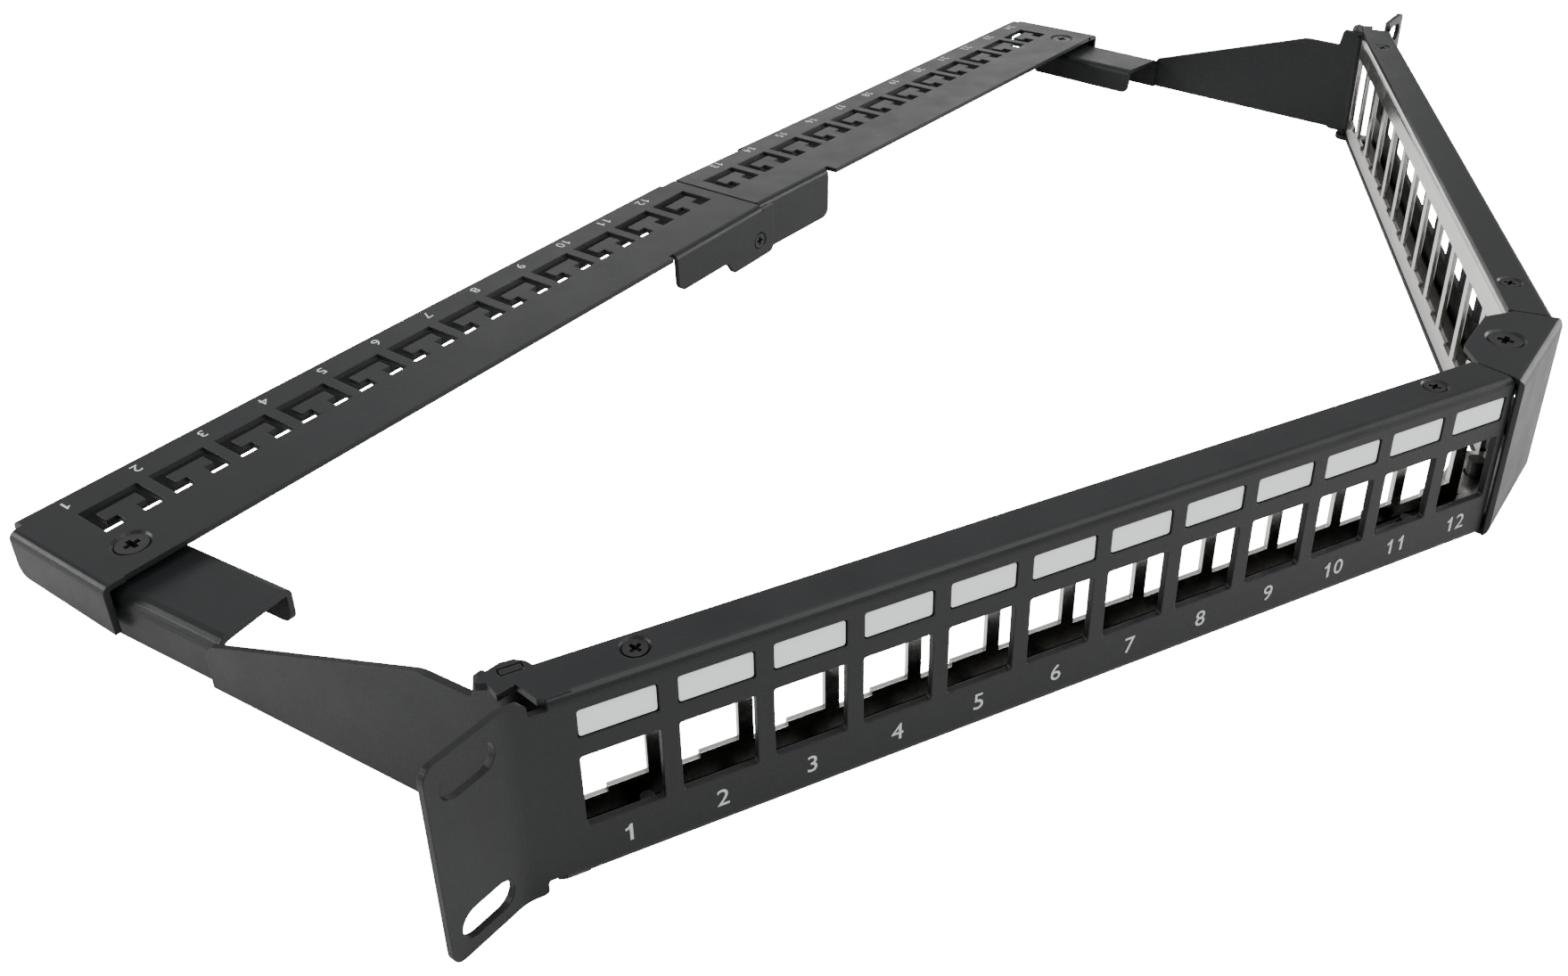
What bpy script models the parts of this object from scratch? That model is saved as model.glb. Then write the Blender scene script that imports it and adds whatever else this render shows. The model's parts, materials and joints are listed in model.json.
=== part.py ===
"""Angled one-unit keystone patch panel with a rear cable bar, as separate sheet-metal pieces.

The design frame has X to the right as seen from the front, Y to the back and Z up. Its origin is
on the centre line, at the front face of the rack ears and at mid height. Lengths are written in
millimetres and become metres where meshes and places are made.
"""

import math

import bmesh
import bpy
from mathutils import Vector

MM = 0.001
LEFT = -1
RIGHT = 1
SIDES = {LEFT: "left", RIGHT: "right"}
TOP_AND_BOTTOM = {1: "top", -1: "bottom"}

# Rack interface, the size that everything else follows.
RACK_WIDTH = 482.6
EAR_HEIGHT = 44.0
EAR_CORNER = 2.5
RACK_HOLE_PITCH = 465.1
RACK_HOLE_RISE = 31.75
EAR_SLOT_LENGTH = 12.0
EAR_SLOT_WIDTH = 6.6

# Sheet metal.
SHEET = 1.5
FRAME_SHEET = 1.2
BEND = 2.0
FRAME_BEND = 1.7
GAP = 0.3
OVERLAP = 0.02

# Front panels: each half runs forward from its ear at FACE_ANGLE to the nose.
FACE_ANGLE = math.radians(26.83)
FACE_START = 224.07
EAR_BEND = 8.0
PANEL_HEIGHT = 42.14
FLANGE_DEPTH = 10.0
CHANNEL_START = 7.5
SKIN_END = 13.5
RELIEF_START = 4.0
RELIEF_HEIGHT = 38.0
RELIEF_INNER_ROUND = 0.6
RELIEF_OUTER_ROUND = 1.0
FACE_END = 231.1

# Ports, counted along each face from its ear.
PORTS = 12
PORT_START = 12.02
PORT_PITCH = 18.378
PORT_WIDTH = 14.91
PORT_TOP = 6.8
PORT_BOTTOM = -9.4
LABEL_BOTTOM = 10.9
LABEL_TOP = 17.1
WINDOW_CORNER = 0.5

# Label strips in the upper windows: a pad fills the window and a wider rim sits behind the sheet.
STRIP_RIM = 1.2
STRIP_DEPTH = 1.8
STRIP_THICK = 0.5
PAD_DEPTH = 0.3

# Inner keystone frames, nested between the flanges of the panels.
FRAME_HEIGHT = PANEL_HEIGHT - 2 * (SHEET + GAP)
FRAME_BACK = 10.5
FRAME_FRONT = 2.6
FRAME_START = 10.2
FRAME_END = 233.0
SOCKET_WIDTH = 15.3
SOCKET_TOP = 12.2
SOCKET_BOTTOM = -11.5
SOCKET_STEP = 1.1
SOCKET_STEP_WIDTH = 7.3

# Tabs at the outer end of each flange, slotted for the tenons of the arms.
TAB_OUTLINE = (
    (12.0, 0.9),
    (7.6, 0.9),
    (6.2, 1.4),
    (4.3, 6.6),
    (0.6, 5.5),
    (0.0, 9.0),
    (-1.9, 9.9),
    (-0.2, 11.7),
    (3.4, 13.1),
    (5.8, 12.9),
    (7.6, 11.5),
    (8.4, 9.8),
    (12.0, 9.8),
)
TENON_START = 2.6
TENON_END = 6.6
TENON_FRONT = 9.9

# Nose bracket that closes the gap between the two panels.
NOSE_FRONT = -106.2
NOSE_OUTLINE = (
    (18.2, -105.2),
    (16.4, -107.2),
    (-16.4, -107.2),
    (-18.2, -105.2),
    (-17.5, -104.5),
    (-15.2, -95.6),
    (-8.5, -90.6),
    (8.5, -90.6),
    (15.2, -95.6),
    (17.5, -104.5),
)
NOSE_ROUNDS = (0.3, 0, 0, 0.3, 0.6, 1.0, 1.5, 1.5, 1.0, 0.6)
NOSE_SCREW_Y = -97.5
NOSE_CLEARANCE = (
    (16.8, -112.0),
    (17.95, -104.4),
    (15.6, -95.3),
    (15.6, -80.0),
    (0.0, -80.0),
    (0.0, -112.0),
)
JOINER_TOP = 17.5
JOINER_START = 206.0
JOINER_FRONT = 2.9
JOINER_BACK = 9.0
JOINER_CORNER = 16.4
JOINER_RUN = 231.6
JOINER_TURN = 233.6
JOINER_TIP = ((10.0, -95.0), (8.5, -91.8))

# Countersunk screws. A head's edge has the stated radius and its cone is 90 degrees.
SMALL_SCREW = {"head": 2.65, "shank": 1.5, "length": 7.0, "sink": 0.3, "cross": (1.35, 0.4, 1.1)}
LARGE_SCREW = {"head": 4.2, "shank": 2.0, "length": 9.0, "sink": 0.4, "cross": (1.9, 0.65, 1.6)}
CONE_CLEARANCE = 0.4
DIMPLE_DEPTH = 1.7
DIMPLE_RADIUS = 5.3
DIMPLE_TAPER = 1.6
PANEL_SCREW_DEPTH = 6.3
PANEL_SCREW_PLACES = {"outer": 25.5, "inner": 213.3}

# Side arms.
ARM_SLOPE = 0.092
ARM_X = 217.67
ARM_X_AT = 22.77
ARM_FLANGE_END = 9.4
ARM_POST_HALF = 19.2
ARM_CORNER_Y = 7.2
ARM_BEND = 3.0
ARM_POST_END = 13.6
ARM_BLEND_END = 14.7
ARM_BOTTOM = -18.55
ARM_TOP = 13.3
ARM_PEAK_Y = 27.4
ARM_PEAK_ROUND = 9.0
ARM_END = 134.5
SHELF_TOP = -7.1
SHELF_FRONT = 87.8
SHELF_WIDTH = 20.8
SHELF_SKEW = 0.15
SHELF_BEND = 3.0
LIP_BOTTOM = -16.4
LIP_ROUND = 2.5

# Rear cable bar, in two halves that rise a little towards the centre.
BAR_FRONT = 118.8
BAR_BACK = 158.2
BAR_END = 229.5
BAR_END_SLOPE = 0.027
BAR_TOP_AT_END = -3.58
BAR_RISE = 4.41
BAR_RISE_LENGTH = 227.6
BAR_TILT = math.atan2(BAR_RISE, BAR_RISE_LENGTH)
BAR_CENTRE_GAP = 0.45
BACK_FLANGE = {LEFT: 13.6, RIGHT: 15.0}
END_FLANGE = 12.5
END_FLANGE_FRONT = -0.4
END_FLANGE_SETBACK = 4.0
END_FLANGE_RISE = 1.0
END_FLANGE_ROUND = 3.0
CENTRE_FLANGE = {LEFT: 12.3, RIGHT: 16.5}
CENTRE_FLANGE_START = 0.6
CENTRE_FLANGE_END = {LEFT: 42.0, RIGHT: 37.6}
CENTRE_FLANGE_BACK = {LEFT: 0.0, RIGHT: SHEET + GAP}
FLANGE_RELIEF = 1.8
BACK_STEP = 2.6
BACK_STEP_END = {LEFT: 6.0, RIGHT: 36.0}
BACK_TONGUE_START = -12.0
BACK_TONGUE_END = 35.0
BACK_TONGUE_SET_IN = 0.8
ARM_SCREW_X = 216.3
ARM_SCREW_Y = 127.9

# Tie slots in the bar, counted from the centre.
SLOTS = 12
SLOT_START = 12.6
SLOT_PITCH = 17.93
SLOT_FRONT = 136.1
SLOT_WIDTH = 15.0
SLOT_DEPTH = 11.8
STEM_WIDTH = 4.6
STEM_LENGTH = 4.0
HEAD_WIDTH = 10.0
HEAD_LENGTH = 4.3

# The left half's front flange laps over the right half's, and one screw holds them together.
TONGUE_START = -19.0
TONGUE_LEAN = 3.0
TONGUE_END = 4.6
TONGUE_BOTTOM = -16.9
TONGUE_TOP = -3.3
TONGUE_SHOULDER = -1.0
TONGUE_ROUND = 3.0
LAP_START = -6.4
JOINT_SCREW_X = -2.4
JOINT_SCREW_Z = -11.2

ROUND_STEPS = 24
FAR = 20.0
WIDE = 300.0

# Row frame: the origin is at the middle of the footprint, on the surface that the ears stand on.
CENTRE_Y = -(NOSE_FRONT + BAR_BACK) / 2
CENTRE_Z = EAR_HEIGHT / 2

COLOURS = {
    "black_powder_coat": ((0.020, 0.021, 0.022), 0.42, 0.0),
    "galvanised_steel": ((0.62, 0.62, 0.58), 0.25, 1.0),
    "label_card": ((0.78, 0.81, 0.83), 0.5, 0.0),
    "black_screw": ((0.018, 0.018, 0.019), 0.35, 0.6),
}


def clear_scene():
    for obj in list(bpy.data.objects):
        bpy.data.objects.remove(obj, do_unlink=True)


def make_material(name):
    colour, roughness, metallic = COLOURS[name]
    material = bpy.data.materials.new(name)
    material.use_nodes = True
    shader = material.node_tree.nodes["Principled BSDF"]
    shader.inputs["Base Color"].default_value = (*colour, 1.0)
    shader.inputs["Roughness"].default_value = roughness
    shader.inputs["Metallic"].default_value = metallic
    return material


# Outlines -------------------------------------------------------------------------------------


def fillet(points, radii, closed=False, steps=4):
    """The points with each corner that has a radius turned into an arc of that radius."""
    if not isinstance(radii, (list, tuple)):
        radii = [radii] * len(points)
    result = []
    count = len(points)
    for index, point in enumerate(points):
        here = Vector(point)
        at_end = not closed and index in (0, count - 1)
        if at_end or radii[index] == 0:
            result.append(here)
            continue
        back = (Vector(points[index - 1]) - here).normalized()
        ahead = (Vector(points[(index + 1) % count]) - here).normalized()
        half = back.angle(ahead) / 2
        centre = here + (back + ahead).normalized() * (radii[index] / math.sin(half))
        reach = radii[index] / math.tan(half)
        first = here + back * reach - centre
        turn = first.angle_signed(here + ahead * reach - centre)
        for step in range(steps + 1):
            angle = -turn * step / steps
            spun = Vector(
                (
                    first.x * math.cos(angle) - first.y * math.sin(angle),
                    first.x * math.sin(angle) + first.y * math.cos(angle),
                )
            )
            result.append(centre + spun)
    return result


def thicken(path, thickness):
    """The closed outline of a sheet whose one face is the path. It lies to the left of the path."""
    path = [Vector(point) for point in path]
    normals = []
    for start, end in zip(path, path[1:]):
        along = (end - start).normalized()
        normals.append(Vector((-along.y, along.x)))
    inner = []
    for index, point in enumerate(path):
        before = normals[max(index - 1, 0)]
        after = normals[min(index, len(normals) - 1)]
        mitre = (before + after).normalized()
        inner.append(point + mitre * (thickness / mitre.dot(after)))
    return path + inner[::-1]


def box(low_a, high_a, low_b, high_b):
    return [(low_a, low_b), (high_a, low_b), (high_a, high_b), (low_a, high_b)]


def mirrored(outline, side):
    return [(side * a, b) for a, b in outline]


# Solids ---------------------------------------------------------------------------------------


def new_object(name, mesh_edit):
    """An object made from an edited mesh, in millimetres, with its faces pointing out."""
    bmesh.ops.recalc_face_normals(mesh_edit, faces=mesh_edit.faces)
    bmesh.ops.scale(mesh_edit, vec=(MM, MM, MM), verts=mesh_edit.verts)
    mesh = bpy.data.meshes.new(name)
    mesh_edit.to_mesh(mesh)
    mesh_edit.free()
    obj = bpy.data.objects.new(name, mesh)
    bpy.context.scene.collection.objects.link(obj)
    return obj


def loft(sections, name="shape"):
    """A closed body through the sections, which are rings with the same number of points."""
    mesh_edit = bmesh.new()
    rings = []
    for section in sections:
        rings.append([mesh_edit.verts.new([round(value, 4) for value in point]) for point in section])
    for low, high in zip(rings, rings[1:]):
        for index in range(len(low)):
            after = (index + 1) % len(low)
            mesh_edit.faces.new((low[index], low[after], high[after], high[index]))
    mesh_edit.faces.new(rings[0])
    mesh_edit.faces.new(rings[-1])
    return new_object(name, mesh_edit)


def prism(outline, low, high, along="z", name="shape"):
    """The outline pushed from low to high along one axis. Its points lie on the other two axes."""
    order = {"x": (2, 0, 1), "y": (0, 2, 1), "z": (0, 1, 2)}[along]
    sections = []
    for level in (low, high):
        ring = []
        for a, b in outline:
            values = (a, b, level)
            ring.append([values[place] for place in order])
        sections.append(ring)
    return loft(sections, name)


def turned(profile, name="shape"):
    """A round body about Z, from its profile of (radius, height) points."""
    sections = []
    for radius, height in profile:
        ring = []
        for step in range(ROUND_STEPS):
            angle = 2 * math.pi * step / ROUND_STEPS
            ring.append((radius * math.cos(angle), radius * math.sin(angle), height))
        sections.append(ring)
    return loft(sections, name)


def moved(obj, x, y, z, turn=(0, 0, 0)):
    """Turns and moves an object's mesh. The object stays at its own origin."""
    obj.rotation_euler = turn
    obj.location = Vector((x, y, z)) * MM
    bpy.context.view_layer.update()
    obj.data.transform(obj.matrix_world)
    obj.rotation_euler = (0, 0, 0)
    obj.location = (0, 0, 0)
    bpy.context.view_layer.update()
    return obj


def combine(target, operation, *tools):
    """Applies a Boolean with each tool to the target, and removes the tools."""
    for tool in tools:
        modifier = target.modifiers.new("combine", "BOOLEAN")
        modifier.operation = operation
        modifier.solver = "EXACT"
        modifier.object = tool
        bpy.context.view_layer.update()
        graph = bpy.context.evaluated_depsgraph_get()
        mesh = bpy.data.meshes.new_from_object(target.evaluated_get(graph))
        target.modifiers.clear()
        target.data = mesh
        bpy.data.objects.remove(tool, do_unlink=True)
    return target


def join(target, *tools):
    return combine(target, "UNION", *tools)


def cut(target, *tools):
    return combine(target, "DIFFERENCE", *tools)


def trim(target, *tools):
    return combine(target, "INTERSECT", *tools)


def tidy(obj):
    """Merges the flat faces that Booleans split, and shades the bends smooth."""
    mesh_edit = bmesh.new()
    mesh_edit.from_mesh(obj.data)
    bmesh.ops.remove_doubles(mesh_edit, verts=mesh_edit.verts, dist=0.002 * MM)
    bmesh.ops.dissolve_limit(
        mesh_edit,
        angle_limit=math.radians(0.2),
        verts=mesh_edit.verts,
        edges=mesh_edit.edges,
    )
    mesh_edit.to_mesh(obj.data)
    mesh_edit.free()
    obj.data.shade_smooth()
    obj.data.set_sharp_from_angle(angle=math.radians(35))


def finish(obj, name, material, x=0.0, y=0.0, z=0.0, turn=(0, 0, 0)):
    """Names a finished piece, gives it its material and puts it in its place."""
    tidy(obj)
    obj.name = name
    obj.data.name = name
    obj.data.materials.clear()
    obj.data.materials.append(MATERIALS[material])
    obj.location = Vector((x, y, z)) * MM
    obj.rotation_euler = turn
    obj.parent = ROOT
    return obj


# Screws and their seats -----------------------------------------------------------------------


def countersink(kind, depth):
    """A cutter for a countersunk hole through a sheet, with its mouth at the origin, going down."""
    mouth = kind["head"] + CONE_CLEARANCE
    hole = kind["shank"] + GAP
    return turned(
        [
            (mouth + GAP, GAP),
            (hole, hole - mouth),
            (hole, -depth),
        ]
    )


def plain_hole(kind, low, high):
    radius = kind["shank"] + CONE_CLEARANCE
    return turned([(radius, low), (radius, high)])


def dimple():
    """The hump under a sheet that makes room for a large countersunk head."""
    low = -SHEET - DIMPLE_DEPTH
    return turned([(DIMPLE_RADIUS - DIMPLE_TAPER, low), (DIMPLE_RADIUS, -SHEET / 2)])


def screw(kind):
    """A countersunk screw with a cross recess, its head's rim just under the origin."""
    rim = -kind["sink"]
    head = kind["head"] + rim
    shank = kind["shank"]
    body = turned([(head, rim), (shank, rim + shank - head), (shank, -kind["length"])])
    reach, half, depth = kind["cross"]
    for long_a, long_b in ((reach, half), (half, reach)):
        cut(body, prism(box(-long_a, long_a, -long_b, long_b), rim - depth, rim + 1.0))
    return body


# Places ---------------------------------------------------------------------------------------


def face_point(along, depth):
    """(distance from the centre line, y) of a place on a panel, by run along its face and depth."""
    x = FACE_START - along * math.cos(FACE_ANGLE) - depth * math.sin(FACE_ANGLE)
    y = -along * math.sin(FACE_ANGLE) + depth * math.cos(FACE_ANGLE)
    return x, y


def on_face(side):
    """Where the face frame of one half stands. Its local X is minus side times the run."""
    return {"x": side * FACE_START, "turn": (0, 0, side * FACE_ANGLE)}


def on_bar(side):
    """Where the frame of one bar half stands: at the centre joint, tilted down outwards."""
    return {"z": BAR_TOP_AT_END + BAR_RISE, "turn": (0, side * BAR_TILT, 0)}


def tilted(side, x, z):
    """(x, z) of a point in the frame of one bar half, seen upright from the centre joint."""
    turn = side * BAR_TILT
    return x * math.cos(turn) + z * math.sin(turn), z * math.cos(turn) - x * math.sin(turn)


def port_middle(port):
    return PORT_START + port * PORT_PITCH + PORT_WIDTH / 2


# Pieces ---------------------------------------------------------------------------------------


def panel_skin(side):
    """Ear, bend and the start of the face as one upright sheet, in the face frame."""
    ear = RACK_WIDTH / 2 - FACE_START
    tip = (-ear * math.cos(FACE_ANGLE), -ear * math.sin(FACE_ANGLE))
    path = fillet([tip, (0, 0), (SKIN_END, 0)], EAR_BEND)
    return prism(mirrored(thicken(path, SHEET), -side), -EAR_HEIGHT / 2, EAR_HEIGHT / 2)


def ear_outline():
    """The height of the panel from its relief notch outwards, by distance from the centre line."""
    relief = FACE_START - RELIEF_START * math.cos(FACE_ANGLE)
    inside = relief - FAR
    high = EAR_HEIGHT / 2
    low = RELIEF_HEIGHT / 2
    points = [
        (inside, -low),
        (relief, -low),
        (relief, -high),
        (RACK_WIDTH / 2, -high),
        (RACK_WIDTH / 2, high),
        (relief, high),
        (relief, low),
        (inside, low),
    ]
    lower = [0, RELIEF_INNER_ROUND, RELIEF_OUTER_ROUND, EAR_CORNER]
    return fillet(points, lower + lower[::-1], closed=True)


def obround(length, width):
    half = (length - width) / 2
    points = []
    for step in range(ROUND_STEPS // 2 + 1):
        angle = math.pi * step / (ROUND_STEPS // 2) - math.pi / 2
        points.append((half + width / 2 * math.cos(angle), width / 2 * math.sin(angle)))
    return points + [(-a, -b) for a, b in points]


def into_face_frame(obj, side):
    """Takes a cutter from the design frame into the frame of one panel."""
    obj = moved(obj, -side * FACE_START, 0, 0)
    return moved(obj, 0, 0, 0, (0, 0, -side * FACE_ANGLE))


def front_panel(side):
    half = PANEL_HEIGHT / 2
    body = panel_skin(side)
    ear = prism(mirrored(ear_outline(), side), -FAR, FAR, "y")
    trim(body, into_face_frame(ear, side))

    section = fillet([(FLANGE_DEPTH, half), (0, half), (0, -half), (FLANGE_DEPTH, -half)], BEND)
    ends = sorted((-side * CHANNEL_START, -side * FACE_END))
    join(body, prism(thicken(section, SHEET), *ends, "x"))

    for flip in TOP_AND_BOTTOM:
        levels = sorted((flip * half, flip * (half - SHEET)))
        join(body, prism(mirrored(TAB_OUTLINE, -side), *levels))
        slot = box(TENON_START - GAP, TENON_END + GAP, TENON_FRONT - GAP, TENON_FRONT + SHEET + GAP)
        cut(body, prism(mirrored(slot, -side), flip * half - 2 * SHEET, flip * half + 2 * SHEET))

    for port in range(PORTS):
        middle = -side * port_middle(port)
        for low, high in ((PORT_BOTTOM, PORT_TOP), (LABEL_BOTTOM, LABEL_TOP)):
            window = box(middle - PORT_WIDTH / 2, middle + PORT_WIDTH / 2, low, high)
            window = fillet(window, WINDOW_CORNER, closed=True, steps=2)
            cut(body, prism(window, -SHEET, 2 * SHEET, "y"))

    for flip in TOP_AND_BOTTOM:
        slot = prism(obround(EAR_SLOT_LENGTH, EAR_SLOT_WIDTH), -FAR / 2, FAR / 2, "y")
        slot = moved(slot, side * RACK_HOLE_PITCH / 2, 0, flip * RACK_HOLE_RISE / 2)
        cut(body, into_face_frame(slot, side))
        levels = sorted((flip * (half - SHEET - GAP / 2), flip * (half + SHEET)))
        cut(body, into_face_frame(prism(mirrored(NOSE_CLEARANCE, side), *levels), side))
        for run in PANEL_SCREW_PLACES.values():
            seat = countersink(SMALL_SCREW, 2 * SHEET)
            turn = (0 if flip == 1 else math.pi, 0, 0)
            cut(body, moved(seat, -side * run, PANEL_SCREW_DEPTH, flip * half, turn))
    finish(body, SIDES[side] + "_front_panel", "black_powder_coat", **on_face(side))


def keystone_frame(side):
    half = FRAME_HEIGHT / 2
    section = fillet(
        [(FRAME_FRONT, -half), (FRAME_BACK, -half), (FRAME_BACK, half), (FRAME_FRONT, half)],
        FRAME_BEND,
    )
    ends = sorted((-side * FRAME_START, -side * FRAME_END))
    body = prism(thicken(section, FRAME_SHEET), *ends, "x")
    for port in range(PORTS):
        middle = -side * port_middle(port)
        left = middle - SOCKET_WIDTH / 2
        right = middle + SOCKET_WIDTH / 2
        step = left + SOCKET_STEP_WIDTH
        socket = [
            (left, SOCKET_TOP),
            (left, SOCKET_BOTTOM - SOCKET_STEP),
            (step, SOCKET_BOTTOM - SOCKET_STEP),
            (step, SOCKET_BOTTOM),
            (right, SOCKET_BOTTOM),
            (right, SOCKET_TOP),
        ]
        cut(body, prism(socket, FRAME_BACK - 2 * FRAME_SHEET, FRAME_BACK + FRAME_SHEET, "y"))
    for flip in TOP_AND_BOTTOM:
        for run in PANEL_SCREW_PLACES.values():
            hole = plain_hole(SMALL_SCREW, -2 * FRAME_SHEET, 2 * FRAME_SHEET)
            cut(body, moved(hole, -side * run, PANEL_SCREW_DEPTH, flip * half))
    finish(body, SIDES[side] + "_keystone_frame", "galvanised_steel", **on_face(side))


def nose_bracket():
    half = PANEL_HEIGHT / 2
    section = fillet([(-80, half), (NOSE_FRONT, half), (NOSE_FRONT, -half), (-80, -half)], BEND)
    body = prism(thicken(section, SHEET), -FAR, FAR, "x")
    trim(body, prism(fillet(NOSE_OUTLINE, NOSE_ROUNDS, closed=True), -2 * FAR, 2 * FAR))
    for flip in TOP_AND_BOTTOM:
        turn = (0 if flip == 1 else math.pi, 0, 0)
        join(body, moved(dimple(), 0, NOSE_SCREW_Y, flip * half, turn))
        cut(body, moved(countersink(LARGE_SCREW, 3 * SHEET), 0, NOSE_SCREW_Y, flip * half, turn))
    finish(body, "nose_bracket", "black_powder_coat")


def nose_joiner(flip):
    """A flat plate inside the nose. It ties both panels and both frames to the bracket."""
    inside = NOSE_FRONT + SHEET + GAP
    half_outline = [
        (JOINER_CORNER, inside),
        face_point(JOINER_RUN, JOINER_FRONT),
        face_point(JOINER_START, JOINER_FRONT),
        face_point(JOINER_START, JOINER_BACK),
        face_point(JOINER_TURN, JOINER_BACK),
        *JOINER_TIP,
    ]
    outline = half_outline + [(-x, y) for x, y in reversed(half_outline)]
    levels = sorted((flip * (JOINER_TOP - SHEET), flip * JOINER_TOP))
    body = prism(outline, *levels)
    for side in SIDES:
        x, y = face_point(PANEL_SCREW_PLACES["inner"], PANEL_SCREW_DEPTH)
        cut(body, moved(plain_hole(SMALL_SCREW, -FAR, FAR), side * x, y, 0))
    cut(body, moved(plain_hole(LARGE_SCREW, -FAR, FAR), 0, NOSE_SCREW_Y, 0))
    finish(body, "nose_joiner_" + TOP_AND_BOTTOM[flip], "galvanised_steel")


def label_strip(side, port):
    half = PORT_WIDTH / 2
    rim = box(-half - STRIP_RIM, half + STRIP_RIM, LABEL_BOTTOM - STRIP_RIM, LABEL_TOP + STRIP_RIM / 2)
    body = prism(rim, 0, STRIP_THICK, "y")
    pad = box(-half + GAP, half - GAP, LABEL_BOTTOM + GAP, LABEL_TOP - GAP)
    pad = fillet(pad, WINDOW_CORNER, closed=True, steps=2)
    join(body, prism(pad, PAD_DEPTH - STRIP_DEPTH, STRIP_THICK / 2, "y"))
    x, y = face_point(port_middle(port), STRIP_DEPTH)
    number = port + 1 if side == LEFT else 2 * PORTS - port
    finish(
        body,
        f"label_strip_{number:02d}",
        "label_card",
        x=side * x,
        y=y,
        turn=(0, 0, side * FACE_ANGLE),
    )


def arm_x(y):
    return ARM_X + ARM_SLOPE * (y - ARM_X_AT)


def lip_corner():
    """What rounds off the lower front corner of the shelf's inner lip."""
    reach = LIP_ROUND + 1
    front = SHELF_FRONT + SHELF_SKEW * SHELF_WIDTH
    return fillet(
        [
            (front - 1, LIP_BOTTOM + reach),
            (front, LIP_BOTTOM + reach),
            (front, LIP_BOTTOM),
            (front + reach, LIP_BOTTOM),
            (front + reach, LIP_BOTTOM - 1),
            (front - 1, LIP_BOTTOM - 1),
        ],
        [0, 0, LIP_ROUND, 0, 0, 0],
        closed=True,
    )


def side_arm(side):
    """An upright plate from the panel back to the bar, ending in a shelf under the bar."""
    flange = face_point(ARM_FLANGE_END, TENON_FRONT)
    path = [
        (arm_x(SHELF_FRONT + 3) - OVERLAP, SHELF_FRONT + 3),
        (arm_x(ARM_CORNER_Y) - OVERLAP, ARM_CORNER_Y),
        flange,
    ]
    plate = thicken(fillet(path, ARM_BEND, steps=6), SHEET - 2 * OVERLAP)
    plate = [(-x, y) for x, y in plate] if side == LEFT else plate
    body = prism(plate, -2 * FAR, 2 * FAR)
    shape = [
        (0, -ARM_POST_HALF),
        (ARM_POST_END, -ARM_POST_HALF),
        (ARM_BLEND_END, ARM_BOTTOM),
        (SHELF_FRONT + 2, ARM_BOTTOM),
        (SHELF_FRONT + 2, SHELF_TOP - SHELF_BEND),
        (SHELF_FRONT, SHELF_TOP - OVERLAP),
        (ARM_PEAK_Y, ARM_TOP),
        (ARM_BLEND_END, ARM_TOP),
        (ARM_POST_END, ARM_POST_HALF),
        (0, ARM_POST_HALF),
    ]
    radii = [0, 0, 0, 0, 0, 0, ARM_PEAK_ROUND, 1.0, 1.0, 0]
    trim(body, prism(fillet(shape, radii, closed=True), -WIDE, WIDE, "x"))

    channel = [(0, ARM_BOTTOM), (0, SHELF_TOP), (-SHELF_WIDTH, SHELF_TOP), (-SHELF_WIDTH, LIP_BOTTOM)]
    outline = thicken(fillet(channel, [0, SHELF_BEND, BEND, 0]), SHEET)
    front = [(side * (arm_x(SHELF_FRONT) + x), SHELF_FRONT - SHELF_SKEW * x, z) for x, z in outline]
    back = [(side * (arm_x(ARM_END) + x), ARM_END, z) for x, z in outline]
    shelf = loft([front, back])
    inner_half = sorted((side * (arm_x(SHELF_FRONT) - SHELF_WIDTH / 2), side * FAR))
    cut(shelf, prism(lip_corner(), *inner_half, "x"))
    join(body, shelf)

    tenon = [
        face_point(TENON_START, TENON_FRONT + OVERLAP * 2),
        face_point(TENON_END, TENON_FRONT + OVERLAP * 2),
        face_point(TENON_END, TENON_FRONT + SHEET - OVERLAP * 4),
        face_point(TENON_START, TENON_FRONT + SHEET - OVERLAP * 4),
    ]
    for flip in TOP_AND_BOTTOM:
        levels = sorted((flip * (ARM_POST_HALF - 1), flip * (PANEL_HEIGHT / 2)))
        join(body, prism(mirrored(tenon, side), *levels))
    cut(body, moved(plain_hole(LARGE_SCREW, -FAR, 0), side * ARM_SCREW_X, ARM_SCREW_Y, 0))
    finish(body, SIDES[side] + "_arm", "black_powder_coat")


def tie_slot():
    """The outline of one opening round its T-shaped tie anchor, from the middle of its front."""
    stem = STEM_WIDTH / 2
    head = HEAD_WIDTH / 2
    edge = SLOT_WIDTH / 2
    neck = STEM_LENGTH
    crown = STEM_LENGTH + HEAD_LENGTH
    right = [(stem, 0), (edge, 0), (edge, SLOT_DEPTH)]
    left = [(-a, b) for a, b in reversed(right)]
    anchor = [(-stem, neck), (-head, neck), (-head, crown), (head, crown), (head, neck), (stem, neck)]
    return right + left + anchor


def bar_end(y):
    """Distance of the bar's end face from the centre line. It keeps clear of the arm inside it."""
    return BAR_END + BAR_END_SLOPE * (y - BAR_FRONT)


def bar_sheet(side):
    """The slotted top with its back flange, up to the bend of the end flange."""
    section = fillet([(BAR_BACK, -BACK_FLANGE[side]), (BAR_BACK, 0), (BAR_FRONT, 0)], BEND)
    outline = thicken(section, SHEET)
    middle = [(side * BAR_CENTRE_GAP, y, z) for y, z in outline]
    end = [(side * (bar_end(y) - BEND - SHEET), y, z) for y, z in outline]
    return loft([middle, end])


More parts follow.
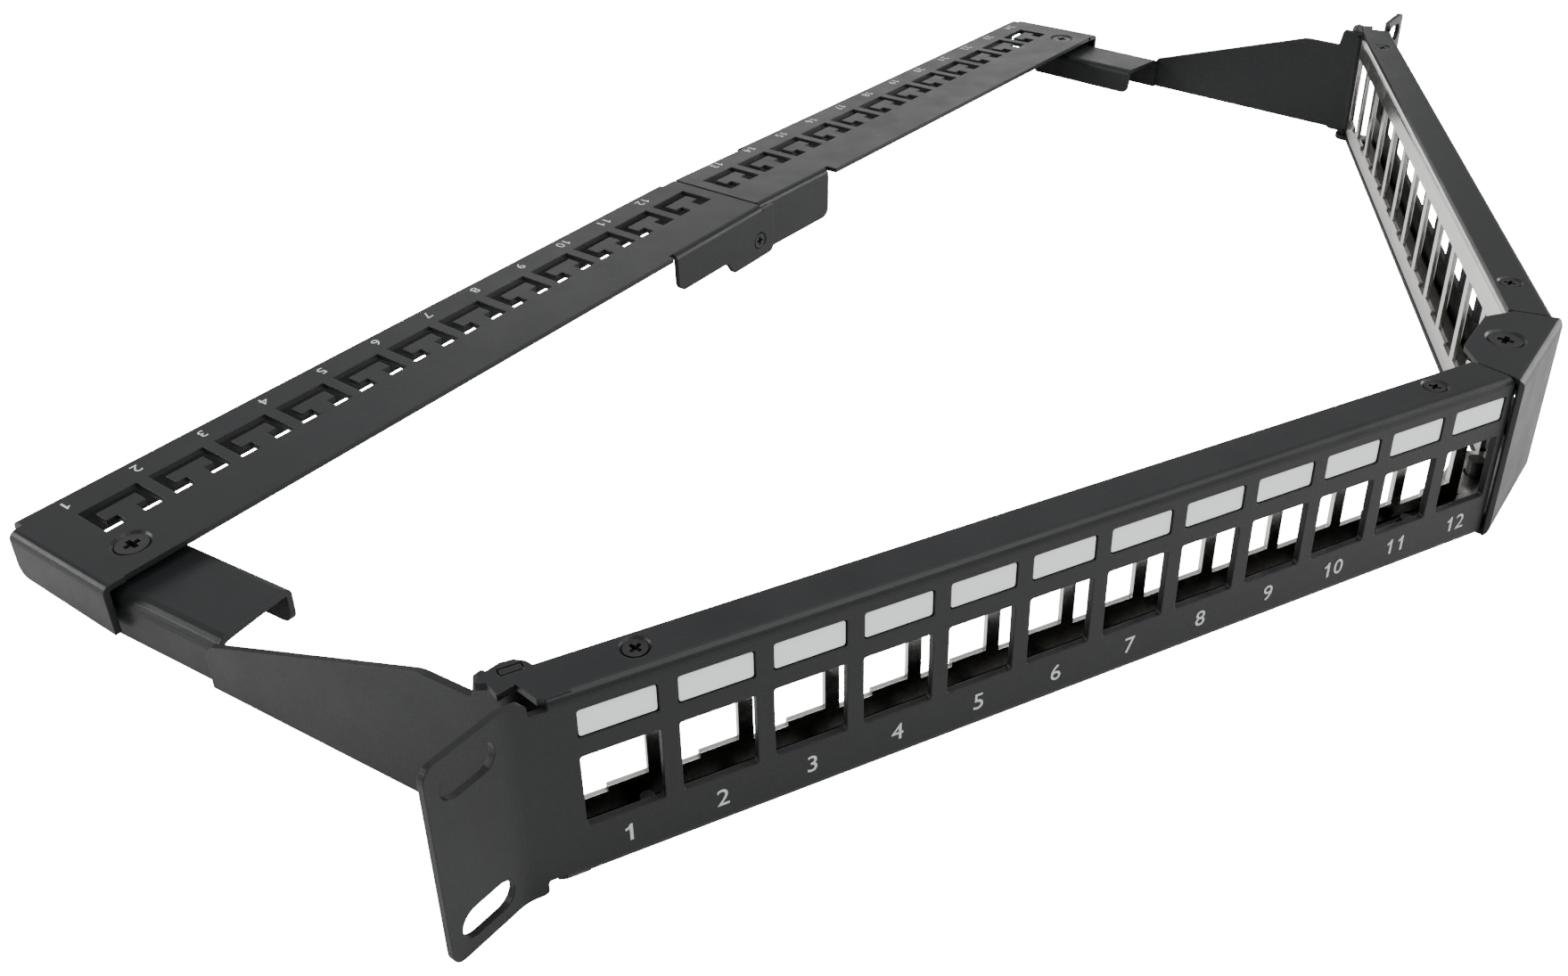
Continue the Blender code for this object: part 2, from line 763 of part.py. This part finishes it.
def end_flange(side):
    """The flange over the arm, with a rounded lower back corner."""
    section = fillet([(0, -END_FLANGE), (0, 0), (-2 * BEND - SHEET, 0)], BEND)
    front = BAR_FRONT + END_FLANGE_FRONT
    back = BAR_BACK - END_FLANGE_SETBACK
    rings = []
    for y in (front, back):
        rings.append([(side * (bar_end(y) + x), y, z) for x, z in thicken(section, SHEET)])
    shape = [(front - 1, -END_FLANGE), (back, END_FLANGE_RISE - END_FLANGE), (back, 1), (front - 1, 1)]
    shape = fillet(shape, [0, END_FLANGE_ROUND, 0, 0], closed=True)
    return trim(loft(rings), prism(shape, -WIDE, WIDE, "x"))


def centre_flange(body, side):
    """Folds a front flange down beside the centre joint. The right one is set back behind the left."""
    front = BAR_FRONT + CENTRE_FLANGE_BACK[side]
    start = CENTRE_FLANGE_START
    end = CENTRE_FLANGE_END[side]
    drop = -CENTRE_FLANGE[side]
    opening = sorted((0, side * (end + FLANGE_RELIEF)))
    cut(body, prism(box(*opening, BAR_FRONT - 1, front + BEND), -FAR, FAR))
    section = fillet([(front + 3 * BEND, 0), (front, 0), (front, -2 * BEND)], BEND)
    join(body, prism(thicken(section, SHEET), *sorted((side * start, side * end)), "x"))
    outline = [(start, TONGUE_TOP), (start, drop), (end, drop), (end, TONGUE_TOP)]
    if side == RIGHT:
        outline[:2] = [(LAP_START, TONGUE_TOP), (LAP_START, drop)]
    outline = fillet(mirrored(outline, side), [0, 0, TONGUE_ROUND, 0], closed=True)
    join(body, prism(outline, front, front + SHEET, "y"))


def tongue():
    """The part of the left flange that hangs lower and laps over the right one."""
    low = -CENTRE_FLANGE[LEFT]
    inner = TONGUE_START + TONGUE_LEAN
    shape = [
        (TONGUE_START - TONGUE_LEAN, low + 1),
        (TONGUE_START - TONGUE_LEAN, low),
        (TONGUE_START, low),
        (inner, TONGUE_BOTTOM),
        (TONGUE_END, TONGUE_BOTTOM),
        (TONGUE_END, TONGUE_SHOULDER),
        (-CENTRE_FLANGE_START, TONGUE_SHOULDER),
        (-CENTRE_FLANGE_START, TONGUE_TOP),
        (-2 * CENTRE_FLANGE_START, TONGUE_TOP),
        (-2 * CENTRE_FLANGE_START, low + 1),
    ]
    shape = fillet(shape, [0, 0, 0.8, 1.2, TONGUE_ROUND, 0, 0, 0, 0, 0], closed=True)
    return prism(shape, BAR_FRONT, BAR_FRONT + SHEET, "y")


def back_tongue():
    """The part of the left back flange that runs on inside the right half, clear of its top."""
    high = -SHEET - GAP
    drop = 2 * BACK_TONGUE_END * math.tan(BAR_TILT)
    shape = [
        (BACK_TONGUE_START, -BACK_FLANGE[LEFT]),
        (BACK_TONGUE_END, -BACK_FLANGE[RIGHT] - drop),
        (BACK_TONGUE_END, high - drop),
        (0, high),
        (BACK_TONGUE_START, high),
    ]
    back = BAR_BACK - BACK_TONGUE_SET_IN
    return prism(shape, back - SHEET, back, "y")


def rear_bar(side):
    body = bar_sheet(side)
    join(body, end_flange(side))
    centre_flange(body, side)
    step = sorted((0, side * BACK_STEP_END[side]))
    cut(body, prism(box(*step, BAR_BACK - BEND - SHEET, BAR_BACK + 1), -FAR, -SHEET - OVERLAP))
    cut(body, prism(box(*step, BAR_BACK - BACK_STEP, BAR_BACK + 1), -FAR, FAR))

    for slot in range(SLOTS):
        cutter = prism(tie_slot(), -2 * SHEET, SHEET)
        cut(body, moved(cutter, side * (SLOT_START + slot * SLOT_PITCH), SLOT_FRONT, 0))
    join(body, moved(dimple(), side * ARM_SCREW_X, ARM_SCREW_Y, 0))
    cut(body, moved(countersink(LARGE_SCREW, 3 * SHEET), side * ARM_SCREW_X, ARM_SCREW_Y, 0))
    upright = (math.pi / 2, 0, 0)
    if side == LEFT:
        join(body, tongue())
        join(body, back_tongue())
        seat = countersink(SMALL_SCREW, 1.1 * SHEET)
        cut(body, moved(seat, JOINT_SCREW_X, BAR_FRONT, JOINT_SCREW_Z, upright))
    else:
        across, up = tilted(LEFT, *tilted(LEFT, JOINT_SCREW_X, JOINT_SCREW_Z))
        hole = plain_hole(SMALL_SCREW, -SHEET, SHEET)
        cut(body, moved(hole, across, BAR_FRONT + 1.5 * SHEET, up, upright))
    finish(body, SIDES[side] + "_rear_bar", "black_powder_coat", **on_bar(side))


def all_screws():
    half = PANEL_HEIGHT / 2
    for flip, level in TOP_AND_BOTTOM.items():
        tip = 0 if flip == 1 else math.pi
        for side, side_name in SIDES.items():
            for place, run in PANEL_SCREW_PLACES.items():
                x, y = face_point(run, PANEL_SCREW_DEPTH)
                name = f"panel_screw_{side_name}_{place}_{level}"
                finish(screw(SMALL_SCREW), name, "black_screw", side * x, y, flip * half, (tip, 0, 0))
        name = "nose_screw_" + level
        finish(screw(LARGE_SCREW), name, "black_screw", 0, NOSE_SCREW_Y, flip * half, (tip, 0, 0))
    for side, side_name in SIDES.items():
        x, up = tilted(side, side * ARM_SCREW_X, 0)
        z = BAR_TOP_AT_END + BAR_RISE + up
        turn = (0, side * BAR_TILT, 0)
        finish(screw(LARGE_SCREW), "arm_screw_" + side_name, "black_screw", x, ARM_SCREW_Y, z, turn)
    x, up = tilted(LEFT, JOINT_SCREW_X, JOINT_SCREW_Z)
    z = BAR_TOP_AT_END + BAR_RISE + up
    turn = (math.pi / 2, 0, 0)
    finish(screw(SMALL_SCREW), "bar_joint_screw", "black_screw", x, BAR_FRONT, z, turn)


clear_scene()
MATERIALS = {name: make_material(name) for name in COLOURS}
ROOT = bpy.data.objects.new("patch_panel", None)
ROOT.location = Vector((0, CENTRE_Y, CENTRE_Z)) * MM
bpy.context.scene.collection.objects.link(ROOT)
for half_side in SIDES:
    front_panel(half_side)
    keystone_frame(half_side)
    side_arm(half_side)
    rear_bar(half_side)
    for port_index in range(PORTS):
        label_strip(half_side, port_index)
nose_bracket()
for which in TOP_AND_BOTTOM:
    nose_joiner(which)
all_screws()
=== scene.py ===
"""The angled patch panel as it looks: coat, bare steel, labels, printed numbers, light and camera.

Lengths are in metres, and the constants below turn millimetres into them. X is to the right as
seen from the port side, Y to the rear cable bar and Z up.
"""

import json
import math

import bmesh
import bpy
from mathutils import Matrix, Vector


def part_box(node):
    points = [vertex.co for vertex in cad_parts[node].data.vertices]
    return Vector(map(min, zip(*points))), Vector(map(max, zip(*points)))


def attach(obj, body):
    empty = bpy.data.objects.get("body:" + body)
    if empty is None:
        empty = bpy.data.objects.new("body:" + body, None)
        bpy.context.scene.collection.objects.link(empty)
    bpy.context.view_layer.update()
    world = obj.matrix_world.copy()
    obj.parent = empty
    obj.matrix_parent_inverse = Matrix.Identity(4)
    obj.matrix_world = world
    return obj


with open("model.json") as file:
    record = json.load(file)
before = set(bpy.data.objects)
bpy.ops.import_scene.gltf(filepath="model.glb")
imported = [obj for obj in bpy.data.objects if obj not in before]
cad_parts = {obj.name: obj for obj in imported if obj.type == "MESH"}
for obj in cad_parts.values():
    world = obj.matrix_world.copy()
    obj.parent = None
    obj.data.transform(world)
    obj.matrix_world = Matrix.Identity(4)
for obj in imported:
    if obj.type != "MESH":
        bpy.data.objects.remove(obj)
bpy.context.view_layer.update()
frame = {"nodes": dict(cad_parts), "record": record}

MM = 0.001
PORTS = 12
LEFT = -1
RIGHT = 1
SIDES = {LEFT: "left", RIGHT: "right"}

# Front faces, with the values of the CAD model. EAR_FRONT_Y is where the ears' front is.
FACE_ANGLE = math.radians(26.83)
FACE_START = 224.07 * MM
PORT_START = 12.02 * MM
PORT_PITCH = 18.378 * MM
PORT_WIDTH = 14.91 * MM
EAR_FRONT_Y = -26.0 * MM

# Printed numbers. DIGIT_DROP is from the middle of the face down to the middle of a number.
DIGIT_HEIGHT = 3.9 * MM
DIGIT_DROP = 14.4 * MM
BAR_DIGIT_HEIGHT = 3.2 * MM
BAR_DIGIT_START = 18.66 * MM
BAR_DIGIT_PITCH = 18.03 * MM
BAR_DIGIT_FROM_BACK = 5.2 * MM
BAR_SLOPE = 4.41 / 227.6
INK_LIFT = 0.03 * MM
INK_THICK = 0.03 * MM

# Shapes of the digits, as parts of their height.
DIGIT_ADVANCE = 0.84
DIGIT_SMOOTHNESS = 4
ONE_OUTLINE = (
    (0.36, 0),
    (0.36, 1),
    (0.24, 1),
    (0.14, 0.84),
    (0, 0.78),
    (0, 0.65),
    (0.20, 0.70),
    (0.20, 0),
)
WELD = 0.001 * MM

# Colours, each as the darkest and the lightest tone of its mottling.
COAT_TONES = ((0.0105, 0.0112, 0.0120), (0.0145, 0.0152, 0.0160))
ZINC_TONES = ((0.82, 0.81, 0.76), (0.92, 0.91, 0.86))
CARD_TONES = ((0.93, 0.96, 0.98), (0.96, 0.98, 1.0))
SCREW_TONES = ((0.010, 0.010, 0.011), (0.022, 0.022, 0.024))
INK_TONES = ((0.48, 0.49, 0.50), (0.66, 0.67, 0.67))
FLOOR_TONES = ((0.86, 0.86, 0.86), (0.88, 0.88, 0.88))

# Roughness, from the smoothest to the roughest patch.
COAT_ROUGHNESS = (0.36, 0.44)
ZINC_ROUGHNESS = (0.16, 0.27)
CARD_ROUGHNESS = (0.45, 0.6)
SCREW_ROUGHNESS = (0.28, 0.42)
FLOOR_ROUGHNESS = 0.9

# Pattern scales, in repeats per metre.
COAT_MOTTLE = 45.0
COAT_SHEEN = 90.0
COAT_PEEL = 1500.0
ZINC_CRYSTALS = 210.0
ZINC_GRAIN = 900.0
CARD_FIBRE = 700.0
SCREW_MOTTLE = 600.0
INK_PATCH = 900.0
FLOOR_TONE = 2.0

# Surface relief: height, and the radius that rounds off sharp edges.
PEEL_HEIGHT = 0.06 * MM
GRAIN_HEIGHT = 0.02 * MM
FIBRE_HEIGHT = 0.03 * MM
SCREW_HEIGHT = 0.03 * MM
COAT_EDGE = 0.35 * MM
ZINC_EDGE = 0.25 * MM
SCREW_EDGE = 0.12 * MM
EDGE_SAMPLES = 6

# Painted shade: bare steel's colour is darkened where it is shut in, standing in for the shade in its
# recesses. From the openness SHUT to OPEN it goes from DARKEST to full.
SHUT_REACH = 12 * MM
SHUT = 0.35
OPEN = 0.85
DARKEST = 0.10
SHUT_SAMPLES = 8

# Light. Each softbox has its place, the point that it faces, its width and height, and its watts.
FLOOR_GLOW = 18.0
FLOOR_REACH = 4.0
FLOOR_DROP = 0.2 * MM
WORLD_STRENGTH = 0.4
SOFTBOXES = {
    "overhead_softbox": ((0.0, -0.2, 1.5), (0, 0, 0), (1.4, 1.0), 15),
    "back_softbox": ((1.3, 0.95, 0.48), (0.05, 0.05, 0), (1.3, 0.5), 3.2),
    "upper_softbox": ((0.45, 1.2, 0.85), (-0.1, 0.1, 0), (0.9, 0.5), 1.0),
    "right_softbox": ((1.0, -0.9, 0.35), (0, -0.1, 0), (0.8, 0.6), 15),
    "front_softbox": ((0.05, -0.9, 1.0), (0, -0.08, 0.02), (0.7, 0.5), 6),
    "left_softbox": ((-0.9, 1.05, 0.5), (-0.2, 0.1, 0), (0.6, 0.35), 11),
}

# Camera. CAMERA_TURN is from +Y towards +X, and CAMERA_DOWN below the horizon.
CAMERA_PLACE = (-0.34347, -0.17617, 0.21364)
CAMERA_TURN = math.radians(52.32)
CAMERA_DOWN = math.radians(28.70)
CAMERA_ROLL = math.radians(-1.34)
CAMERA_LENS = 34.69
SENSOR = 36.0
SHIFT_X = 0.0048
SHIFT_Y = -0.0945
CLIP_START = 0.01


# Materials ------------------------------------------------------------------------------------


def new_material(name):
    """A new Principled material with its nodes, its links, its shader and its own coordinates."""
    material = bpy.data.materials.new(name)
    material.use_nodes = True
    nodes = material.node_tree.nodes
    place = nodes.new("ShaderNodeTexCoord").outputs["Object"]
    return material, nodes, material.node_tree.links, nodes["Principled BSDF"], place


def noise(nodes, links, place, scale, detail=3.0):
    node = nodes.new("ShaderNodeTexNoise")
    node.inputs["Scale"].default_value = scale
    node.inputs["Detail"].default_value = detail
    links.new(place, node.inputs["Vector"])
    return node.outputs["Fac"]


def remap(nodes, links, value, low, high, from_low=0.3, from_high=0.7):
    """The value, stretched from the range that noise mostly stays in to low and high."""
    node = nodes.new("ShaderNodeMapRange")
    node.inputs["From Min"].default_value = from_low
    node.inputs["From Max"].default_value = from_high
    node.inputs["To Min"].default_value = low
    node.inputs["To Max"].default_value = high
    links.new(value, node.inputs["Value"])
    return node.outputs["Result"]


def blend_colours(nodes, links, factor, low, high):
    node = nodes.new("ShaderNodeMix")
    node.data_type = "RGBA"
    node.inputs["A"].default_value = (*low, 1.0)
    node.inputs["B"].default_value = (*high, 1.0)
    links.new(factor, node.inputs["Factor"])
    return node.outputs["Result"]


def shut_in(nodes, links, colour):
    """The colour with painted shade: darker where other surfaces close in on it."""
    node = nodes.new("ShaderNodeAmbientOcclusion")
    node.samples = SHUT_SAMPLES
    node.inputs["Distance"].default_value = SHUT_REACH
    shade = remap(nodes, links, node.outputs["AO"], DARKEST, 1.0, SHUT, OPEN)
    tint = nodes.new("ShaderNodeMix")
    tint.data_type = "RGBA"
    tint.inputs["A"].default_value = (0.0, 0.0, 0.0, 1.0)
    links.new(colour, tint.inputs["B"])
    links.new(shade, tint.inputs["Factor"])
    return tint.outputs["Result"]


def bump(nodes, links, height, distance, strength, edge=None):
    """A bump whose edges are also rounded off by the given radius."""
    node = nodes.new("ShaderNodeBump")
    node.inputs["Distance"].default_value = distance
    node.inputs["Strength"].default_value = strength
    links.new(height, node.inputs["Height"])
    if edge is not None:
        rounded = nodes.new("ShaderNodeBevel")
        rounded.samples = EDGE_SAMPLES
        rounded.inputs["Radius"].default_value = edge
        links.new(rounded.outputs["Normal"], node.inputs["Normal"])
    return node.outputs["Normal"]


def powder_coat():
    """Satin black powder coat: fine orange peel, faint mottling and soft edges."""
    material, nodes, links, shader, place = new_material("black_powder_coat_look")
    mottle = noise(nodes, links, place, COAT_MOTTLE)
    links.new(blend_colours(nodes, links, mottle, *COAT_TONES), shader.inputs["Base Color"])
    sheen = noise(nodes, links, place, COAT_SHEEN, detail=5.0)
    links.new(remap(nodes, links, sheen, *COAT_ROUGHNESS), shader.inputs["Roughness"])
    shader.inputs["Specular IOR Level"].default_value = 0.27
    peel = noise(nodes, links, place, COAT_PEEL, detail=2.0)
    links.new(bump(nodes, links, peel, PEEL_HEIGHT, 0.35, COAT_EDGE), shader.inputs["Normal"])
    return material


def galvanised():
    """Bright galvanised sheet: a faint crystal spangle under a fine rolled grain, with painted shade
    darkening its colour where it is shut in.
    """
    material, nodes, links, shader, place = new_material("galvanised_steel_look")
    crystals = nodes.new("ShaderNodeTexVoronoi")
    crystals.inputs["Scale"].default_value = ZINC_CRYSTALS
    links.new(place, crystals.inputs["Vector"])
    shade = nodes.new("ShaderNodeRGBToBW")
    links.new(crystals.outputs["Color"], shade.inputs["Color"])
    spangle = shade.outputs["Val"]
    colour = blend_colours(nodes, links, spangle, *ZINC_TONES)
    # Painted shade: the base colour is darkened in the frame's recesses and crevices.
    links.new(shut_in(nodes, links, colour), shader.inputs["Base Color"])
    links.new(remap(nodes, links, spangle, *ZINC_ROUGHNESS, 0.0, 1.0), shader.inputs["Roughness"])
    shader.inputs["Metallic"].default_value = 1.0
    grain = noise(nodes, links, place, ZINC_GRAIN, detail=4.0)
    links.new(bump(nodes, links, grain, GRAIN_HEIGHT, 0.25, ZINC_EDGE), shader.inputs["Normal"])
    return material


def label_card():
    """Matt white label card with a fine paper tooth."""
    material, nodes, links, shader, place = new_material("label_card_look")
    fibre = noise(nodes, links, place, CARD_FIBRE, detail=5.0)
    links.new(blend_colours(nodes, links, fibre, *CARD_TONES), shader.inputs["Base Color"])
    links.new(remap(nodes, links, fibre, *CARD_ROUGHNESS), shader.inputs["Roughness"])
    links.new(bump(nodes, links, fibre, FIBRE_HEIGHT, 0.3), shader.inputs["Normal"])
    return material


def screw_black():
    """Black screws, mottled, with softened edges."""
    material, nodes, links, shader, place = new_material("black_screw_look")
    mottle = noise(nodes, links, place, SCREW_MOTTLE, detail=4.0)
    links.new(blend_colours(nodes, links, mottle, *SCREW_TONES), shader.inputs["Base Color"])
    links.new(remap(nodes, links, mottle, *SCREW_ROUGHNESS), shader.inputs["Roughness"])
    shader.inputs["Specular IOR Level"].default_value = 0.3
    links.new(bump(nodes, links, mottle, SCREW_HEIGHT, 0.3, SCREW_EDGE), shader.inputs["Normal"])
    return material


def print_ink():
    """White screen-printing ink, slightly uneven."""
    material, nodes, links, shader, place = new_material("white_ink_look")
    patch = noise(nodes, links, place, INK_PATCH, detail=4.0)
    links.new(blend_colours(nodes, links, patch, *INK_TONES), shader.inputs["Base Color"])
    links.new(remap(nodes, links, patch, *CARD_ROUGHNESS), shader.inputs["Roughness"])
    return material


def studio_white():
    """Plain white paper for the floor, lit up for the camera as in a bright studio."""
    material, nodes, links, shader, place = new_material("studio_white")
    tone = noise(nodes, links, place, FLOOR_TONE)
    links.new(blend_colours(nodes, links, tone, *FLOOR_TONES), shader.inputs["Base Color"])
    shader.inputs["Roughness"].default_value = FLOOR_ROUGHNESS
    shader.inputs["Specular IOR Level"].default_value = 0.1
    shader.inputs["Emission Color"].default_value = (1, 1, 1, 1)
    seen = nodes.new("ShaderNodeLightPath")
    glow = nodes.new("ShaderNodeMath")
    glow.operation = "MULTIPLY"
    glow.inputs[1].default_value = FLOOR_GLOW
    links.new(seen.outputs["Is Camera Ray"], glow.inputs[0])
    links.new(glow.outputs["Value"], shader.inputs["Emission Strength"])
    return material


def dress_frame():
    """Gives every CAD node the look of its material slot."""
    looks = {
        "black_powder_coat": powder_coat(),
        "galvanised_steel": galvanised(),
        "label_card": label_card(),
        "black_screw": screw_black(),
    }
    for part in frame["record"]["subparts"]:
        mesh = frame["nodes"][part["node"]].data
        mesh.materials.clear()
        mesh.materials.append(looks[part["material_slot"]])


# Printed numbers ------------------------------------------------------------------------------


def one_face():
    """A flat figure one with a flag, one unit high, centred on its origin."""
    middle = max(x for x, _ in ONE_OUTLINE) / 2
    corners = [(x - middle, y - 0.5, 0) for x, y in ONE_OUTLINE]
    mesh = bpy.data.meshes.new("one")
    mesh.from_pydata(corners, [], [range(len(corners))])
    return mesh


def digit_face(digit):
    """A flat digit, one unit high, centred on its origin. All but the one are of the built-in font."""
    if digit == "1":
        return one_face()
    curve = bpy.data.curves.new("digit", "FONT")
    curve.body = digit
    curve.resolution_u = DIGIT_SMOOTHNESS
    helper = bpy.data.objects.new("digit", curve)
    bpy.context.scene.collection.objects.link(helper)
    bpy.context.view_layer.update()
    graph = bpy.context.evaluated_depsgraph_get()
    mesh = bpy.data.meshes.new_from_object(helper.evaluated_get(graph))
    bpy.data.objects.remove(helper, do_unlink=True)
    bpy.data.curves.remove(curve)
    across = [vertex.co.x for vertex in mesh.vertices]
    along = [vertex.co.y for vertex in mesh.vertices]
    middle = Vector((min(across) + max(across), min(along) + max(along), 0)) / 2
    size = 1 / (max(along) - min(along))
    mesh.transform(Matrix.Scale(size, 4) @ Matrix.Translation(-middle))
    return mesh


def number_mesh(text, height):
    """A thin mesh of the number, centred on its origin, facing +Z."""
    edit = bmesh.new()
    for place, digit in enumerate(text):
        face = digit_face(digit)
        across = (place - (len(text) - 1) / 2) * DIGIT_ADVANCE
        face.transform(Matrix.Scale(height, 4) @ Matrix.Translation((across, 0, 0)))
        edit.from_mesh(face)
        bpy.data.meshes.remove(face)
    bmesh.ops.remove_doubles(edit, verts=edit.verts, dist=WELD)
    bmesh.ops.recalc_face_normals(edit, faces=edit.faces)
    grown = bmesh.ops.extrude_face_region(edit, geom=list(edit.faces))
    raised = [item for item in grown["geom"] if isinstance(item, bmesh.types.BMVert)]
    bmesh.ops.translate(edit, vec=(0, 0, INK_THICK), verts=raised)
    bmesh.ops.recalc_face_normals(edit, faces=edit.faces)
    mesh = bpy.data.meshes.new("number")
    edit.to_mesh(mesh)
    edit.free()
    return mesh


def print_numbers(name, prints, ink):
    """One printed piece from items of text, height, centre, right and up."""
    edit = bmesh.new()
    for text, height, centre, right, up in prints:
        mesh = number_mesh(text, height)
        out = right.cross(up)
        turn = Matrix((right, up, out)).transposed().to_4x4()
        mesh.transform(Matrix.Translation(centre + out * INK_LIFT) @ turn)
        edit.from_mesh(mesh)
        bpy.data.meshes.remove(mesh)
    mesh = bpy.data.meshes.new(name)
    edit.to_mesh(mesh)
    edit.free()
    mesh.materials.append(ink)
    piece = bpy.data.objects.new(name, mesh)
    bpy.context.scene.collection.objects.link(piece)
    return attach(piece, "root")


def front_numbers(ink):
    """The port numbers, one under each port, counted from the left."""
    up = Vector((0, 0, 1))
    for side, side_name in SIDES.items():
        right = Vector((math.cos(FACE_ANGLE), side * math.sin(FACE_ANGLE), 0))
        low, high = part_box(side_name + "_front_panel")
        level = (low.z + high.z) / 2 - DIGIT_DROP
        prints = []
        for port in range(PORTS):
            along = PORT_START + port * PORT_PITCH + PORT_WIDTH / 2
            x = side * (FACE_START - along * math.cos(FACE_ANGLE))
            y = EAR_FRONT_Y - along * math.sin(FACE_ANGLE)
            number = port + 1 if side == LEFT else 2 * PORTS - port
            prints.append((str(number), DIGIT_HEIGHT, Vector((x, y, level)), right, up))
        print_numbers("port_numbers_" + side_name, prints, ink)


def bar_numbers(ink):
    """The tie numbers along the back of the bar, to be read from behind."""
    up = Vector((0, -1, 0))
    for side, side_name in SIDES.items():
        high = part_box(side_name + "_rear_bar")[1]
        right = -Vector((1, 0, -side * BAR_SLOPE)).normalized()
        prints = []
        for place in range(PORTS):
            along = BAR_DIGIT_START + place * BAR_DIGIT_PITCH
            z = high.z - BAR_SLOPE * along
            number = PORTS - place if side == LEFT else PORTS + 1 + place
            centre = Vector((side * along, high.y - BAR_DIGIT_FROM_BACK, z))
            prints.append((str(number), BAR_DIGIT_HEIGHT, centre, right, up))
        print_numbers("tie_numbers_" + side_name, prints, ink)


# Stage ----------------------------------------------------------------------------------------


def floor():
    edit = bmesh.new()
    bmesh.ops.create_grid(edit, x_segments=8, y_segments=8, size=FLOOR_REACH)
    mesh = bpy.data.meshes.new("floor")
    edit.to_mesh(mesh)
    edit.free()
    mesh.materials.append(studio_white())
    obj = bpy.data.objects.new("floor", mesh)
    obj.location = (0, 0, -FLOOR_DROP)
    bpy.context.scene.collection.objects.link(obj)


def area_light(name, place, target, size, power):
    light = bpy.data.lights.new(name, "AREA")
    light.shape = "RECTANGLE"
    light.size, light.size_y = size
    light.energy = power
    obj = bpy.data.objects.new(name, light)
    obj.location = place
    aim = Vector(target) - Vector(place)
    obj.rotation_euler = aim.to_track_quat("-Z", "Y").to_euler()
    bpy.context.scene.collection.objects.link(obj)


def studio():
    world = bpy.data.worlds.new("studio")
    world.use_nodes = True
    background = world.node_tree.nodes["Background"]
    background.inputs["Color"].default_value = (1, 1, 1, 1)
    background.inputs["Strength"].default_value = WORLD_STRENGTH
    bpy.context.scene.world = world
    for name, (place, target, size, power) in SOFTBOXES.items():
        area_light(name, place, target, size, power)


def camera():
    turn, down, roll = CAMERA_TURN, CAMERA_DOWN, CAMERA_ROLL
    ahead = Vector((math.sin(turn) * math.cos(down), math.cos(turn) * math.cos(down), -math.sin(down)))
    right = Vector((math.cos(turn), -math.sin(turn), 0))
    up = right.cross(ahead)
    right, up = (
        right * math.cos(roll) + up * math.sin(roll),
        up * math.cos(roll) - right * math.sin(roll),
    )
    data = bpy.data.cameras.new("camera")
    data.sensor_width = SENSOR
    data.lens = CAMERA_LENS
    data.shift_x = SHIFT_X
    data.shift_y = SHIFT_Y
    data.clip_start = CLIP_START
    obj = bpy.data.objects.new("camera", data)
    turned = Matrix((right, up, -ahead)).transposed().to_4x4()
    obj.matrix_world = Matrix.Translation(CAMERA_PLACE) @ turned
    bpy.context.scene.collection.objects.link(obj)
    bpy.context.scene.camera = obj


dress_frame()
ink = print_ink()
front_numbers(ink)
bar_numbers(ink)
floor()
studio()
camera()
